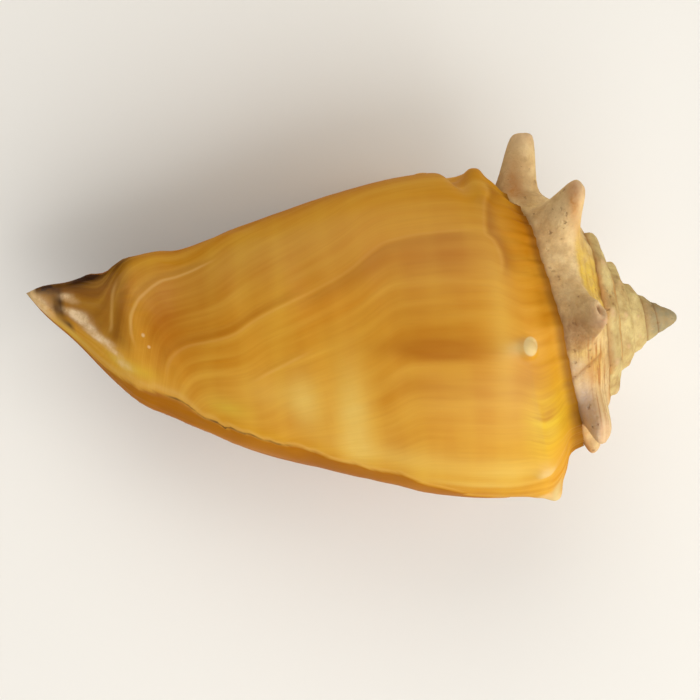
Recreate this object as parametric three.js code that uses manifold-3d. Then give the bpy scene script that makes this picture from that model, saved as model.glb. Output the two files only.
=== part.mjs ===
// A West Indian fighting conch shell, lying on its aperture as it rests on a table.
// Millimetres, +Z up. The shell grew as one piece, so it is one closed solid.
//
// The shell's own frame, used until the last step: "along" is measured from the apex
// towards the tip of the siphonal canal, "radius" from a gently bent centre line, and
// the growth angle, in degrees, rises the way the animal built the shell. Growth angle 0
// is the middle of the back, 90 the side of the outer lip and -90 the opposite side.

import * as THREE from "three";
import { mergeVertices } from "three/addons/utils/BufferGeometryUtils.js";
import Module from "manifold-3d";

// Driving sizes, in mm and degrees
const LENGTH = 83.5; // apex to the tip of the canal
const LIP_ANGLE = 127; // where growth stopped, at the shoulder end of the outer lip
const TURN = 360;
const WALL_ANGLE = LIP_ANGLE - TURN; // where the lip meets the turn before it again
const TURNS = 7; // turns of the coil that are large enough to model
const TURN_RATIO = 0.665; // radius of the suture against that of one turn later
const SUTURE_RADIUS = 17.8; // radius of the suture at growth angle 90
const SPIRE_CORNER_DROP = 0.39; // how far down the step of the spire its corner lies
const LATE_SHOULDER = 0.08; // how much the corner has grown when the last turn begins
const LATE_SHOULDER_START = -330;
const UNDERSIDE_POWER = 2.4; // how long the underside stays full before it runs in
const LIP_FLARE_END = 140; // growth angle after which the lip no longer drops straight
const COLUMELLA_TAPER = 0.3; // how much the inner wall narrows going back into the hollow
const COLUMELLA_TAPER_ANGLE = 45; // degrees over which it narrows most
const SUTURE_EDGE = 0.5; // thickness of the edge that each turn lays on the one before
const SUTURE_EDGE_REACH = 0.75; // place on the shoulder where that edge has run out
const SUTURE_EDGE_SIDE = [-0.35, 0.94]; // the way it thickens: along and radius
const CALLUS_ANGLES = { start: -85, full: -140, fading: -150, end: -205 };
const WALL = 1.5; // thickness of the shell wall
const LIP_THICKNESS = 2.8; // thickness of the rounded edge of the outer lip
const CAVITY_TOP_DROP = 2.4; // how far the hollow keeps below the suture
const LIP_SHEAR_START = 10; // growth lines begin to follow the shape of the lip here
const SLOPE_STEP = 0.5; // length over which the slope of the last turn is taken

// How the shell lies: turned in the plan, rolled to the lip, and tipped to the canal
const HEADING = 5;
const ROLL = 2.67;
const PITCH = -8.68;
const WORN = 0.4; // what wear took off the points that it rests on

// Counts of the mesh
const COLUMNS_PER_TURN = 72;
const RAMP_PLACES = [0, 0.2, 0.38, 0.52, 0.66, 0.82, 1]; // rows from suture to suture
const RAMP_ROWS = RAMP_PLACES.length - 1;
const BODY_ROWS = 18; // from there to the tip of the canal, on the last turn
const LIP_EDGE_STEPS = 3; // facets around the rounded edge of the lip
// Stations of the hollow, in columns back from the lip: it is modelled to the last of them
const HOLLOW_STATIONS = [0, 1, 2, 4, 6, 9, 12, 15, 18, 21, 24, 26, 28, 30];
const HOLLOW_CLOSING = 7; // columns over which its far end closes
const TOP_DROP_COLUMNS = 4; // columns over which the hollow leaves the suture
const LIP_THINNING = 3; // columns over which the lip thins to the wall

// A smooth curve without overshoot through points [x, y], held flat beyond its ends
function throughPoints(points) {
  const last = points.length - 1;
  const slopes = points.slice(1).map(([x, y], i) => (y - points[i][1]) / (x - points[i][0]));
  const tangents = points.map((_, i) => {
    if (i === 0) return slopes[0];
    if (i === last) return slopes[last - 1];
    if (slopes[i - 1] * slopes[i] <= 0) return 0;
    const before = points[i][0] - points[i - 1][0];
    const after = points[i + 1][0] - points[i][0];
    const weightA = 2 * after + before;
    const weightB = after + 2 * before;
    return (weightA + weightB) / (weightA / slopes[i - 1] + weightB / slopes[i]);
  });
  return (value) => {
    const x = Math.min(Math.max(value, points[0][0]), points[last][0]);
    let i = 0;
    while (i < last - 1 && x > points[i + 1][0]) i += 1;
    const step = points[i + 1][0] - points[i][0];
    const s = (x - points[i][0]) / step;
    const near = (1 + 2 * s) * (1 - s) ** 2 * points[i][1] + s * (1 - s) ** 2 * step * tangents[i];
    const far = s * s * (3 - 2 * s) * points[i + 1][1] + s * s * (s - 1) * step * tangents[i + 1];
    return near + far;
  };
}

// 0 at from, 1 at to, smooth between, whichever of the two is larger
function smoothstep(from, to, x) {
  const s = THREE.MathUtils.clamp((x - from) / (to - from), 0, 1);
  return s * s * (3 - 2 * s);
}

const radians = THREE.MathUtils.degToRad;

// The spire: how far the suture lies from the apex, against its radius
const sutureDrop = throughPoints([
  [0, 0], [0.5, 0.15], [1.07, 1], [1.7, 2.3], [2.6, 3.9], [4.9, 6.7], [7.4, 8.7], [10.1, 10.4],
  [11.6, 11.5], [14.5, 13.7], [16.1, 17.2], [17.8, 22.1], [18.6, 24.8],
]);

// The last turn: half its width, against the distance from the apex
const bodyHalfWidth = throughPoints([
  [15, 21.7], [27, 21.4], [33, 20.8], [40, 19.25], [48, 17], [57, 14.2],
  [64, 11.4], [67, 10.65], [70, 9.65], [74, 7], [78, 3.85], [81.5, 1.8], [LENGTH, 0],
]);
const bodyDepthShare = throughPoints([
  [15, 0.91], [30, 0.9], [50, 0.88], [70, 0.86], [LENGTH, 0.9],
]);

// How far the centre line bends to the lip's side and, near the canal, up to the back
const centreSide = throughPoints([
  [24, 0], [30, 0.3], [40, 1.2], [51, 1.75], [60, 2.3],
  [64, 2.85], [66.5, 3.6], [70, 4.35], [72, 5], [77, 7.1], [81, 9], [LENGTH, 10.3],
]);
const centreRise = throughPoints([[50, 0], [66, 0.3], [76, 1.6], [LENGTH, 3.4]]);

// The inner wall behind the lip, as a share of the width of the last turn
const innerWallShare = throughPoints([
  [24.8, 0.867], [30, 0.81], [38, 0.73], [45, 0.65], [55, 0.56],
  [65, 0.47], [74, 0.33], [79, 0.2], [LENGTH, 0.15],
]);

// The callus: how much thicker it makes the underside, as a share of the width
const callusShare = throughPoints([[25, 0], [38, 0.048], [52, 0.21], [60, 0.18], [72, 0]]);

// Growth angle of the lip's edge: it drops back at the notch beside the canal
const lipEdgeAngle = throughPoints([
  [24.8, 127], [29, 132], [34, 134], [43, 132], [55, 121], [66, 105],
  [70, 97], [73.8, 60], [77, 82], [80, 92], [LENGTH, 96],
]);

// The shoulder corner and the foot of the shoulder on the last turn, by growth angle
const shoulderAlong = throughPoints([
  [WALL_ANGLE, 15.6], [-180, 16.6], [-90, 17.9], [-59, 19.4],
  [-25, 20.8], [0, 21.6], [30, 22.9], [56, 23.6], [90, 24.4], [LIP_ANGLE, 26.4],
]);
const shoulderFoot = throughPoints([
  [WALL_ANGLE, 24.8], [-180, 24.8], [-90, 25], [0, 29], [90, 33.5], [LIP_ANGLE, 35],
]);

// Weight of the corner, which draws the shoulder out to it: sharp on the columella's side
const shoulderFullness = throughPoints([
  [WALL_ANGLE, 1.45], [-180, 1.7], [-90, 2.5], [-40, 1.6], [LIP_ANGLE, 1.45],
]);

// How far out the corner of the shoulder stands on the spire, as a share of the way from
// one suture to the next: the first turns are almost flat, the later ones stepped
const spireShoulder = throughPoints([[-1500, 0.6], [-1170, 0.62], [-990, 0.88], [-810, 0.84], [-640, 1]]);

// The hollow of the shoulder just below the suture of the last turn, by growth angle
const shoulderHollow = throughPoints([
  [WALL_ANGLE, 0], [-180, 0.8], [-90, 1.2], [-40, 0.8], [30, 0.5], [LIP_ANGLE, 0.3],
]);
const HOLLOW_PEAK = 0.15; // share of the way out to the corner where it is deepest

const sutureRadius = (angle) => SUTURE_RADIUS * TURN_RATIO ** ((90 - angle) / TURN);
const suture = (angle) => [sutureDrop(sutureRadius(angle)), sutureRadius(angle)];

// Radius of the last turn: an oval back, a straight drop at the lip, and on the
// underside a wall that runs in to the columella
function bodyRadius(along, angle) {
  const half = bodyHalfWidth(along);
  if (angle > 90) return half / Math.sin(radians(Math.min(angle, LIP_FLARE_END)));
  if (angle < WALL_ANGLE) {
    const back = (angle - WALL_ANGLE) / COLUMELLA_TAPER_ANGLE;
    const taper = COLUMELLA_TAPER * (1 - Math.exp(back));
    return half * innerWallShare(along) * (1 - taper);
  }
  if (angle < -90) {
    const under = (-90 - angle) / (-90 - WALL_ANGLE);
    const { start, full, fading, end } = CALLUS_ANGLES;
    const spread = smoothstep(start, full, angle) * smoothstep(end, fading, angle);
    const runIn = (1 - innerWallShare(along)) * under ** UNDERSIDE_POWER;
    return half * (1 + callusShare(along) * spread - runIn);
  }
  const depth = bodyDepthShare(along);
  return half / Math.hypot(Math.sin(radians(angle)), Math.cos(radians(angle)) / depth);
}

// Suture, shoulder corner and foot of the shoulder at one growth angle, each [along, radius]
function rampPoints(angle) {
  const top = suture(angle);
  if (angle < WALL_ANGLE) {
    const foot = suture(angle + TURN);
    const late = LATE_SHOULDER * smoothstep(LATE_SHOULDER_START, WALL_ANGLE, angle);
    const step = spireShoulder(angle) * (foot[1] - top[1]);
    const cornerRadius = top[1] + step + foot[1] * late;
    return [top, [top[0] + SPIRE_CORNER_DROP * (foot[0] - top[0]), cornerRadius], foot];
  }
  const footAlong = shoulderFoot(angle);
  const foot = [footAlong, bodyRadius(footAlong, angle)];
  const slope = (bodyRadius(footAlong + SLOPE_STEP, angle) - foot[1]) / SLOPE_STEP;
  const cornerAlong = shoulderAlong(angle);
  return [top, [cornerAlong, foot[1] - (footAlong - cornerAlong) * slope], foot];
}

// The smooth outer wall: v runs 0 to 1 from the suture over the shoulder, and 1 to 2
// from there to the tip of the canal
function wallPoint(angle, v) {
  const [top, corner, foot] = rampPoints(angle);
  if (v > 1) {
    const along = foot[0] + (LENGTH - foot[0]) * (v - 1);
    return [along, bodyRadius(along, angle)];
  }
  const weights = [(1 - v) ** 2, 2 * v * (1 - v) * shoulderFullness(angle), v * v];
  const total = weights[0] + weights[1] + weights[2];
  const [along, radius] = [0, 1].map(
    (i) => (weights[0] * top[i] + weights[1] * corner[i] + weights[2] * foot[i]) / total,
  );
  const out = Math.max((radius - top[1]) / (corner[1] - top[1]), 0) / HOLLOW_PEAK;
  return [along + shoulderHollow(angle) * out * Math.exp(1 - out), radius];
}

// Spines of the last two turns: growth angle, height, half width around and along the
// shell, lean to the apex, how sharply the flanks end, and place v on the shoulder
const SPINES = [
  [108, 0.8, 2.6, 2, 0, 3, 0.86],
  [82, -1.6, 8, 1.5, 0, 4, 0.67],
  [82, 0.8, 2.6, 1.5, 0.3, 4, 0.46],
  [56, 0.4, 2.8, 0.9, 0.2, 3, 0.5],
  [-7, 0.75, 1.3, 1.1, 0.6, 6, 0.45],
  [-7, 0.3, 1.3, 2.4, 0.2, 3, 0.64],
  [-61, 0.8, 1.4, 1.9, 0.3, 3, 0.5],
  [-90, 0.5, 3, 1.8, 0, 3, 0.65],
  [-95, 1.9, 1.9, 1.6, 0.4, 3, 0.44],
  [-130, 2.6, 2.1, 1.9, 0.35, 3.4, 0.5],
  [-161, 3.8, 2.3, 2.1, 0.3, 3.6, 0.5],
  [-212, 5.4, 2.4, 2.2, 0.25, 4.5, 0.6],
  [-265, 7.9, 2.4, 2.6, 0.21, 7, 0.8],
  [-290, -1.7, 1.8, 3, 0, 4, 0.74],
  [-310, 7, 2.5, 2.1, 0.47, 3.2, 0.61],
  [-357, 6.4, 2.4, 2, 0.3, 3.2, 0.58],
  [-405, 4.9, 2.6, 2.2, 0.12, 7, 0.6],
  [-455, 2.7, 2, 1.8, 0.1, 5, 0.62],
];

// Blunt knobs on the turns above, which shrink with the coil
const KNOB_START = -497;
const KNOB_END = LIP_ANGLE - TURN * TURNS + 60;
const KNOB_STEP = 36;
const KNOB_WIDTH = 0.115; // a share of the radius where the knob stands
const knobHeight = throughPoints([[-1800, 0.03], [-1200, 0.07], [-860, 0.075], [-500, 0.05]]);
const KNOB_LEAN = 0.2;
const KNOB_SHARPNESS = 2.6;
const KNOB_PLACE = 0.58;
const knobs = [];
for (let angle = KNOB_START; angle > KNOB_END; angle -= KNOB_STEP) {
  const radius = sutureRadius(angle + TURN);
  const height = knobHeight(angle) * radius;
  const width = KNOB_WIDTH * radius;
  knobs.push([angle, height, width, width, KNOB_LEAN, KNOB_SHARPNESS, KNOB_PLACE]);
}

const spines = [...SPINES, ...knobs].map(
  ([angle, height, around, along, lean, sharpness, place]) => ({
    angle, height, around, along, lean, sharpness, place, foot: wallPoint(angle, place),
  }),
);

const SPINE_REACH = 60; // degrees either side of a spine that it can touch
const SPINE_TAIL = 4; // half widths at which its flank ends
const SPINE_CORE = 0.85; // half widths at which it has half its height

// How far the spines push the wall point [along, radius] at (angle, v)
function spineLift(angle, point) {
  const lift = [0, 0];
  for (const spine of spines) {
    if (Math.abs(angle - spine.angle) > SPINE_REACH) continue;
    const here = wallPoint(angle, spine.place);
    const across = (radians(angle - spine.angle) * spine.foot[1]) / spine.around;
    const down = Math.hypot(point[0] - here[0], point[1] - here[1]) / spine.along;
    const bell = (x) => 1 / (1 + (x / SPINE_CORE) ** spine.sharpness);
    const share = bell(Math.hypot(across, down)) - bell(SPINE_TAIL);
    if (share <= 0) continue;
    const height = spine.height * share;
    const tilt = Math.hypot(1, spine.lean);
    lift[0] -= (spine.lean / tilt) * height;
    lift[1] += height / tilt;
  }
  return lift;
}

// The finished outer surface: wall, spines, and the edge that each turn lays over the
// turn before, which climbs over that turn's own spines
function outsidePoint(angle, v) {
  const point = wallPoint(angle, v);
  const lift = spineLift(angle, point);
  const fall = Math.max(1 - v / SUTURE_EDGE_REACH, 0) ** 2;
  const under = fall > 0 ? spineLift(angle - TURN, wallPoint(angle - TURN, 1)) : [0, 0];
  const edge = SUTURE_EDGE * (sutureRadius(angle) / SUTURE_RADIUS) * fall;
  return [0, 1].map((i) => point[i] + lift[i] + under[i] * fall + edge * SUTURE_EDGE_SIDE[i]);
}

// Growth angle at a column and row: near the lip the columns follow its edge
function shearedAngle(angle, v) {
  const [along] = wallPoint(LIP_ANGLE, v);
  const share = smoothstep(LIP_SHEAR_START, LIP_ANGLE, angle);
  return angle + (lipEdgeAngle(along) - LIP_ANGLE) * share;
}

// From [along, radius] at a growth angle to the shell's frame: X to the apex, Y to the
// lip's side, Z to the back
function toSpace([along, radius], angle) {
  const turn = radians(angle);
  return new THREE.Vector3(
    -along,
    centreSide(along) + radius * Math.sin(turn),
    centreRise(along) + radius * Math.cos(turn),
  );
}

// The closed surface
const COLUMN_ANGLE = TURN / COLUMNS_PER_TURN;
const COLUMNS = COLUMNS_PER_TURN * TURNS;
const BODY_START = COLUMNS - COLUMNS_PER_TURN; // the column at WALL_ANGLE
const ROWS = RAMP_ROWS + BODY_ROWS;
const HOLLOW_END = HOLLOW_STATIONS.at(-1);
const columnAngle = (column) => LIP_ANGLE - (COLUMNS - column) * COLUMN_ANGLE;
const rowPlace = (row) =>
  row <= RAMP_ROWS ? RAMP_PLACES[row] : 1 + (row - RAMP_ROWS) / BODY_ROWS;

const vertices = [];
const faces = [];
const known = new Map();

// The number of the vertex with this name, placed by make() when it is first met
function vertex(name, make) {
  if (!known.has(name)) {
    const point = make();
    known.set(name, vertices.length);
    vertices.push(point);
  }
  return known.get(name);
}

const canalTip = () => vertex("tip", () => toSpace([LENGTH, 0], 0));

// A vertex of the outer surface; the foot of one turn's shoulder is the next one's suture
function outer(column, row) {
  if (row === ROWS) return canalTip();
  if (row === RAMP_ROWS && column <= BODY_START) return outer(column + COLUMNS_PER_TURN, 0);
  return vertex(`outer ${column} ${row}`, () => {
    const v = rowPlace(row);
    const angle = shearedAngle(columnAngle(column), v);
    return toSpace(outsidePoint(angle, v), angle);
  });
}

// A vertex of the inner wall, the columella's side of the hollow, so many columns deep
function innerWall(depth, row) {
  if (row === ROWS) return canalTip();
  if (depth === 0) return outer(BODY_START, row);
  return vertex(`inner ${depth} ${row}`, () => {
    const angle = WALL_ANGLE - depth * COLUMN_ANGLE;
    const drop = CAVITY_TOP_DROP * smoothstep(0, TOP_DROP_COLUMNS, depth);
    const top = sutureDrop(sutureRadius(angle + TURN)) + drop;
    const along = top + (LENGTH - top) * (rowPlace(row) - 1);
    return toSpace([along, bodyRadius(along, angle)], angle);
  });
}

// The inside of the outer wall: from each outer point towards the inner wall opposite
function innerSide(depth, row) {
  if (row === ROWS) return canalTip();
  if (row === 0) return innerWall(depth, RAMP_ROWS);
  if (depth === HOLLOW_END) return innerWall(depth, Math.max(row, RAMP_ROWS));
  return vertex(`inside ${depth} ${row}`, () => {
    const from = vertices[outer(COLUMNS - depth, row)];
    const to = vertices[innerWall(depth, Math.max(row, RAMP_ROWS))];
    const gap = from.distanceTo(to);
    const lipShare = 1 - smoothstep(0, LIP_THINNING, depth);
    const thickness = WALL + (LIP_THICKNESS - WALL) * lipShare;
    const closing = smoothstep(HOLLOW_END - HOLLOW_CLOSING, HOLLOW_END, depth);
    const share = Math.min(0.5, thickness / gap);
    return from.clone().lerp(to, share + (1 - share) * closing);
  });
}

// The rounded edge of the lip, bulging in the direction of growth
function lipEdge(step, row) {
  if (step === 0 || row === 0) return outer(COLUMNS, row);
  if (step === LIP_EDGE_STEPS || row === ROWS) return innerSide(0, row);
  return vertex(`lip ${step} ${row}`, () => {
    const from = vertices[outer(COLUMNS, row)];
    const to = vertices[innerSide(0, row)];
    const growth = from.clone().sub(vertices[outer(COLUMNS - 1, row)]).normalize();
    const turn = (Math.PI * step) / LIP_EDGE_STEPS;
    const bulge = (from.distanceTo(to) / 2) * Math.sin(turn);
    return from.clone().lerp(to, (1 - Math.cos(turn)) / 2).addScaledVector(growth, bulge);
  });
}

// Two triangles over four vertices in a ring, leaving out what has shrunk to a line
function quad(a, b, c, d) {
  for (const [i, j, k] of [[a, b, c], [a, c, d]]) {
    if (i !== j && j !== k && k !== i) faces.push([i, j, k]);
  }
}

function patch(columns, firstRow, lastRow, at) {
  for (let column = 0; column < columns; column += 1) {
    for (let row = firstRow; row < lastRow; row += 1) {
      quad(at(column, row), at(column + 1, row), at(column + 1, row + 1), at(column, row + 1));
    }
  }
}

patch(BODY_START, 0, RAMP_ROWS, outer);
patch(COLUMNS_PER_TURN, 0, ROWS, (column, row) => outer(BODY_START + column, row));
patch(LIP_EDGE_STEPS, 0, ROWS, lipEdge);
const BANDS = HOLLOW_STATIONS.length - 1;
patch(BANDS, 0, ROWS, (band, row) => innerSide(HOLLOW_STATIONS[band], row));
patch(BANDS, RAMP_ROWS, ROWS, (band, row) => innerWall(HOLLOW_STATIONS[BANDS - band], row));

// The apex: a low cap over the first turn that is modelled
const apexTip = vertex("apex", () => toSpace([0, 0], 0));
for (let column = 0; column < COLUMNS_PER_TURN; column += 1) {
  faces.push([apexTip, outer(column + 1, 0), outer(column, 0)]);
}
for (let row = 0; row < RAMP_ROWS; row += 1) {
  faces.push([apexTip, outer(0, row), outer(0, row + 1)]);
}

// Lay the shell down
const rest = new THREE.Matrix4()
  .makeRotationY(radians(PITCH))
  .multiply(new THREE.Matrix4().makeRotationX(radians(ROLL)))
  .multiply(new THREE.Matrix4().makeRotationZ(radians(HEADING)));
vertices.forEach((point) => point.applyMatrix4(rest));
const box = new THREE.Box3().setFromPoints(vertices);
const middle = box.getCenter(new THREE.Vector3());
const toOrigin = new THREE.Vector3(-middle.x, -middle.y, -box.min.z - WORN);
vertices.forEach((point) => point.add(toOrigin));

const wasm = await Module();
wasm.setup();

// A solid from a geometry whose faces share their vertices
function solidFrom(geometry) {
  return new wasm.Manifold(
    new wasm.Mesh({
      numProp: 3,
      vertProperties: new Float32Array(geometry.getAttribute("position").array),
      triVerts: new Uint32Array(geometry.getIndex().array),
    }),
  );
}

// Wear leaves small flats where the shell touches the table
const whole = new THREE.BufferGeometry().setFromPoints(vertices).setIndex(faces.flat());
const block = new THREE.BoxGeometry(2 * LENGTH, 2 * LENGTH, WORN * 2);
block.translate(0, 0, -WORN);
block.deleteAttribute("normal");
block.deleteAttribute("uv");
const worn = solidFrom(whole).subtract(solidFrom(mergeVertices(block)));

function geometryFrom(solid) {
  const mesh = solid.getMesh();
  const geometry = new THREE.BufferGeometry();
  geometry.setAttribute("position", new THREE.BufferAttribute(new Float32Array(mesh.vertProperties), 3));
  geometry.setIndex(new THREE.BufferAttribute(new Uint32Array(mesh.triVerts), 1));
  geometry.computeVertexNormals();
  return geometry;
}

const shellMaterial = new THREE.MeshStandardMaterial({
  color: 0xc98d30,
  roughness: 0.35,
  metalness: 0,
});
const shell = new THREE.Mesh(geometryFrom(worn), shellMaterial);
shell.name = "shell";

const conch = new THREE.Group();
conch.add(shell);

export default conch;
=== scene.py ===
# A West Indian fighting conch shell lying on its aperture, seen from above its back.
# The scene is in metres. The shape of the shell is worked out in millimetres and degrees.

import math

import bpy
import numpy as np
from mathutils import Matrix, Vector


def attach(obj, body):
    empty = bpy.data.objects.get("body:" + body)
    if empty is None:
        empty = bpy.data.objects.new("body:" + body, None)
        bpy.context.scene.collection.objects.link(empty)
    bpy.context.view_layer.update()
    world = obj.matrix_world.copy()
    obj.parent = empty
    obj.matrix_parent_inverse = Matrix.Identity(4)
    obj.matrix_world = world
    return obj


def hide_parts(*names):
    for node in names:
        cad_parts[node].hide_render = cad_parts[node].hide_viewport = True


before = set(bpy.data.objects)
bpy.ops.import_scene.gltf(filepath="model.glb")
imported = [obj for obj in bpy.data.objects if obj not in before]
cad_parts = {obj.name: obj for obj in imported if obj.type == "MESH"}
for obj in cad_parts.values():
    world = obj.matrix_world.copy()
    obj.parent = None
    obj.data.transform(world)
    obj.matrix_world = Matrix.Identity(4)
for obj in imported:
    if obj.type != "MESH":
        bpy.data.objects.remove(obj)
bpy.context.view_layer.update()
MM = 0.001

# The view: a camera straight above the shell, which lies turned, rolled and tipped.
# The apex is at the right, the outer lip along the top edge of the image.
HEADING = 5
ROLL = 2.67
PITCH = -8.68
APEX = Vector((41.825, -0.13, 24.538))  # where the tip of the spire is, mm
CAMERA_FROM_APEX = Vector((-42.51, -4.29, 253))  # in the plane of the image, and away, mm
TIPPED = Matrix.Rotation(math.radians(PITCH), 4, "Y") @ Matrix.Rotation(math.radians(ROLL), 4, "X")

camera_data = bpy.data.cameras.new("camera")
camera_data.lens = 100
camera_data.sensor_width = 36
camera_data.clip_start = 0.01
camera_data.dof.use_dof = False
camera = bpy.data.objects.new("camera", camera_data)
bpy.context.scene.collection.objects.link(camera)
camera_place = Matrix.Translation(APEX) @ TIPPED @ Matrix.Translation(CAMERA_FROM_APEX)
camera_place.translation *= MM
camera.matrix_world = camera_place
bpy.context.scene.camera = camera


def linear(hex_colour):
    """An sRGB hex colour as linear red, green, blue and an alpha of 1."""
    parts = [int(hex_colour[i:i + 2], 16) / 255 for i in (1, 3, 5)]
    curve = [p / 12.92 if p <= 0.04045 else ((p + 0.055) / 1.055) ** 2.4 for p in parts]
    return (*curve, 1.0)


def node(tree, kind, settings=None, links=None):
    """Adds a node with its settings, and fills its inputs by name or number."""
    made = tree.nodes.new(kind)
    for name, value in (settings or {}).items():
        setattr(made, name, value)
    for name, value in (links or {}).items():
        socket = made.inputs[name]
        if isinstance(value, bpy.types.NodeSocket):
            tree.links.new(value, socket)
        else:
            socket.default_value = value
    return made


def material(name):
    """A new material: its node tree, emptied, and the shader that gives its surface."""
    made = bpy.data.materials.new(name)
    made.use_nodes = True
    tree = made.node_tree
    tree.nodes.clear()
    shader = node(tree, "ShaderNodeBsdfPrincipled")
    node(tree, "ShaderNodeOutputMaterial", links={"Surface": shader.outputs["BSDF"]})
    return made, tree, shader


# The floor and the light: a plain pale table top under soft boxes, the stronger one on
# the side of the spire.
FLOOR_HALF = 1.5
FLOOR_COLOUR = "#E4E2DE"
FLOOR_DROP = 0.0001  # so that it doesn't share a plane with the flats under the shell
LIGHT_TARGET = Vector((0, 0, 0.02))  # the middle of the shell

floor_mesh = bpy.data.meshes.new("floor")
floor_corners = [(-1, -1), (1, -1), (1, 1), (-1, 1)]
floor_mesh.from_pydata([(x * FLOOR_HALF, y * FLOOR_HALF, -FLOOR_DROP) for x, y in floor_corners],
                       [], [(0, 1, 2, 3)])
floor = bpy.data.objects.new("floor", floor_mesh)
bpy.context.scene.collection.objects.link(floor)
floor_paint, tree, shader = material("matt_card")
shader.inputs["Base Color"].default_value = linear(FLOOR_COLOUR)
shader.inputs["Roughness"].default_value = 0.9
floor_mesh.materials.append(floor_paint)

world = bpy.data.worlds.new("studio")
world.use_nodes = True
world.node_tree.nodes["Background"].inputs["Color"].default_value = linear("#F6F4F0")
world.node_tree.nodes["Background"].inputs["Strength"].default_value = 0.24
bpy.context.scene.world = world
bpy.context.scene.view_settings.view_transform = "Standard"


def soft_box(name, place, size, power, colour):
    """A square area light at a place in metres, turned to the shell."""
    data = bpy.data.lights.new(name, "AREA")
    data.shape = "SQUARE"
    data.size = size
    data.energy = power
    data.color = linear(colour)[:3]
    lamp = bpy.data.objects.new(name, data)
    bpy.context.scene.collection.objects.link(lamp)
    lamp.location = place
    lamp.rotation_euler = (LIGHT_TARGET - Vector(place)).to_track_quat("-Z", "Y").to_euler()


soft_box("light_spire_side", (0.5, -0.28, 0.48), 0.9, 5.2, "#FFFCF4")
soft_box("light_front", (0.1, -0.5, 0.5), 0.6, 2.7, "#FFFFFF")
soft_box("light_lip_side", (-0.1, 0.5, 0.5), 0.6, 2.2, "#FFFAF2")

# The shell: one piece of aragonite that the animal laid down along the rim of its mantle,
# turn over turn. Growth angle 0 is the middle of the back, 90 the lip's side, -90 the other
# side, and it rises as the shell grew. "along" runs from the apex to the tip of the canal.
LENGTH = 83.5  # apex to the tip of the canal
LIP_ANGLE = 127  # where growth stopped, at the shoulder end of the outer lip
TURN = 360
WALL_ANGLE = LIP_ANGLE - TURN  # where the lip meets the turn before it again
TURN_RATIO = 0.665  # radius of the suture against that of one turn later
SUTURE_RADIUS = 17.8  # radius of the suture at growth angle 90
SPIRE_CORNER_DROP = 0.39  # how far down the step of the spire its corner lies
LATE_SHOULDER = 0.08  # how much the corner has grown when the last turn begins
LATE_SHOULDER_START = -330
UNDERSIDE_POWER = 2.4  # how long the underside stays full before it runs in
LIP_FLARE_END = 140  # growth angle after which the lip no longer drops straight
COLUMELLA_TAPER = 0.3  # how much the inner wall narrows going back into the hollow
COLUMELLA_TAPER_ANGLE = 45  # degrees over which it narrows most
SUTURE_EDGE = 0.5  # thickness of the edge that each turn lays on the one before
SUTURE_EDGE_REACH = 0.75  # place on the shoulder where that edge has run out
SUTURE_EDGE_SIDE = (-0.35, 0.94)  # the way it thickens: along and radius
CALLUS_START, CALLUS_FULL, CALLUS_FADING, CALLUS_END = -85, -140, -150, -205
WALL = 1.5  # thickness of the shell wall
LIP_THICKNESS = 2.8  # thickness of the rounded edge of the outer lip
CAVITY_TOP_DROP = 2.4  # how far the hollow keeps below the suture
LIP_SHEAR_START = 10  # growth lines begin to follow the shape of the lip here
SLOPE_STEP = 0.5  # length over which the slope of the last turn is taken


def through_points(*points):
    """A smooth curve without overshoot through points (x, y), held flat beyond its ends."""
    x, y = np.array(points, float).T
    steps = np.diff(x)
    slopes = np.diff(y) / steps
    tangents = np.concatenate([slopes[:1], np.zeros(len(x) - 2), slopes[-1:]])
    for i in range(1, len(x) - 1):
        if slopes[i - 1] * slopes[i] > 0:
            before, after = steps[i - 1], steps[i]
            weight_a, weight_b = 2 * after + before, after + 2 * before
            mean = weight_a / slopes[i - 1] + weight_b / slopes[i]
            tangents[i] = (weight_a + weight_b) / mean

    def curve(value):
        value = np.clip(np.asarray(value, float), x[0], x[-1])
        i = np.clip(np.searchsorted(x, value, side="right") - 1, 0, len(x) - 2)
        step = steps[i]
        s = (value - x[i]) / step
        near = (1 + 2 * s) * (1 - s) ** 2 * y[i] + s * (1 - s) ** 2 * step * tangents[i]
        far = s * s * (3 - 2 * s) * y[i + 1] + s * s * (s - 1) * step * tangents[i + 1]
        return near + far

    return curve


def smoothstep(start, end, x):
    """0 at start, 1 at end, smooth between, whichever of the two is larger."""
    s = np.clip((np.asarray(x, float) - start) / (end - start), 0, 1)
    return s * s * (3 - 2 * s)


suture_drop = through_points(
    (0, 0), (0.5, 0.15), (1.07, 1), (1.7, 2.3), (2.6, 3.9), (4.9, 6.7), (7.4, 8.7), (10.1, 10.4),
    (11.6, 11.5), (14.5, 13.7), (16.1, 17.2), (17.8, 22.1), (18.6, 24.8))
body_half_width = through_points(
    (15, 21.7), (27, 21.4), (33, 20.8), (40, 19.25), (48, 17), (57, 14.2),
    (64, 11.4), (67, 10.65), (70, 9.65), (74, 7), (78, 3.85), (81.5, 1.8), (LENGTH, 0))
body_depth_share = through_points((15, 0.91), (30, 0.9), (50, 0.88), (70, 0.86), (LENGTH, 0.9))
centre_side = through_points(
    (24, 0), (30, 0.3), (40, 1.2), (51, 1.75), (60, 2.3),
    (64, 2.85), (66.5, 3.6), (70, 4.35), (72, 5), (77, 7.1), (81, 9), (LENGTH, 10.3))
centre_rise = through_points((50, 0), (66, 0.3), (76, 1.6), (LENGTH, 3.4))
inner_wall_share = through_points(
    (24.8, 0.867), (30, 0.81), (38, 0.73), (45, 0.65), (55, 0.56),
    (65, 0.47), (74, 0.33), (79, 0.2), (LENGTH, 0.15))
callus_share = through_points((25, 0), (38, 0.048), (52, 0.21), (60, 0.18), (72, 0))
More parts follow.
